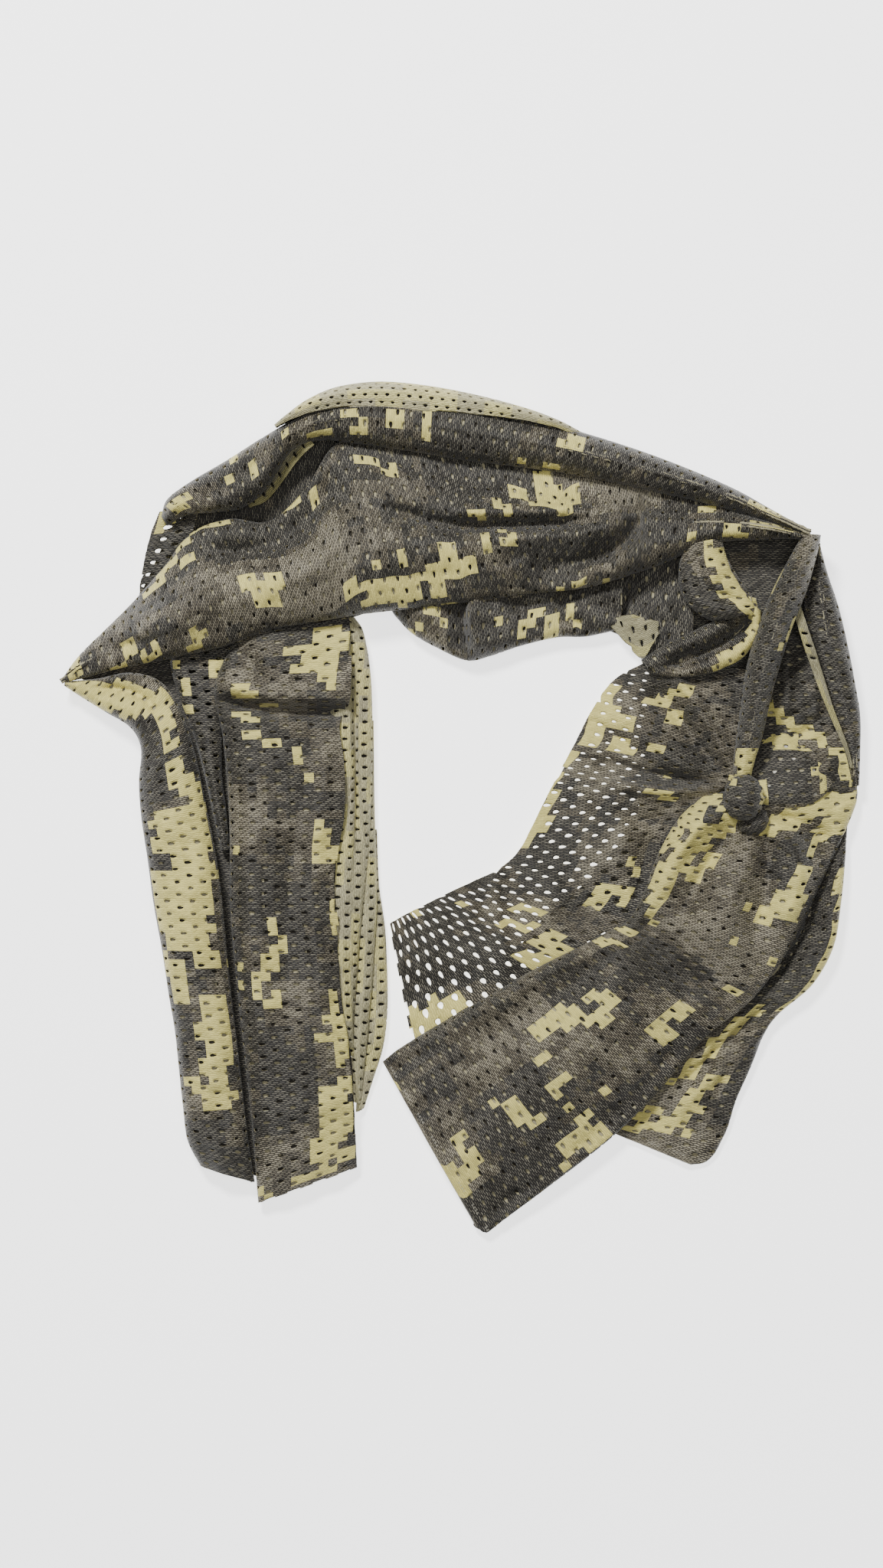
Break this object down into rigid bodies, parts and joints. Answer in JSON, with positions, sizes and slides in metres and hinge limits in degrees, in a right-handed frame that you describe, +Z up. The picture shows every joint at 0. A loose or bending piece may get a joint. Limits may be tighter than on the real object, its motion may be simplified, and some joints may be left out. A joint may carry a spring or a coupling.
{
  "type": "camo face mask",
  "caption": "Perforated camouflage mesh veil worn as a face mask, gathered lengthwise, knotted and laid flat as an open ring with loose tails.",
  "frame": {"origin": "on the surface the veil lies on, under the middle of its outline", "axes": "+X to the right and +Y away from the viewer as the veil is laid out, towards the wide band; +Z up from the surface"},
  "size_m": [0.3786, 0.4047, 0.034],
  "materials": {
    "printed_mesh": "matte",
    "reverse_mesh": "matte",
    "selvedge_band": "matte"
  },
  "bodies": {
    "veil": {"top_roll": "printed_mesh", "top_reverse_strip": "reverse_mesh", "back_layer": "printed_mesh", "main_band": "printed_mesh", "lower_flap": "printed_mesh", "inner_layer": "printed_mesh", "loop_fold": "printed_mesh", "corner_roll": "printed_mesh", "fan_panel": "printed_mesh", "outer_flap": "printed_mesh", "mesh_web": "printed_mesh", "back_tail": "printed_mesh", "swirl_panel": "printed_mesh", "side_tail_root": "printed_mesh", "left_tube": "printed_mesh", "left_panel": "printed_mesh", "left_pleats": "reverse_mesh", "knot": "printed_mesh"},
    "front_tail": {"front_tail": "printed_mesh", "front_tail_selvedge": "selvedge_band"},
    "side_tail": {"side_tail": "printed_mesh", "side_tail_selvedge": "selvedge_band"},
    "leg_end": {"left_tube_end": "printed_mesh", "left_panel_end": "printed_mesh", "left_pleats_end": "reverse_mesh"}
  },
  "joints": [
    {"name": "front_tail_lift", "type": "hinge", "parent": "veil", "child": "front_tail", "pos_m": [0.0845, -0.0885, 0.014], "axis": [-0.721, 0.693, 0], "range_deg": [0, 75]},
    {"name": "side_tail_lift", "type": "hinge", "parent": "veil", "child": "side_tail", "pos_m": [0.1075, -0.148, 0.005], "axis": [-0.6919, 0.7219, 0], "range_deg": [0, 70]},
    {"name": "leg_end_lift", "type": "hinge", "parent": "veil", "child": "leg_end", "pos_m": [-0.088, -0.089, 0.024], "axis": [-1, 0, 0], "range_deg": [0, 60]}
  ]
}
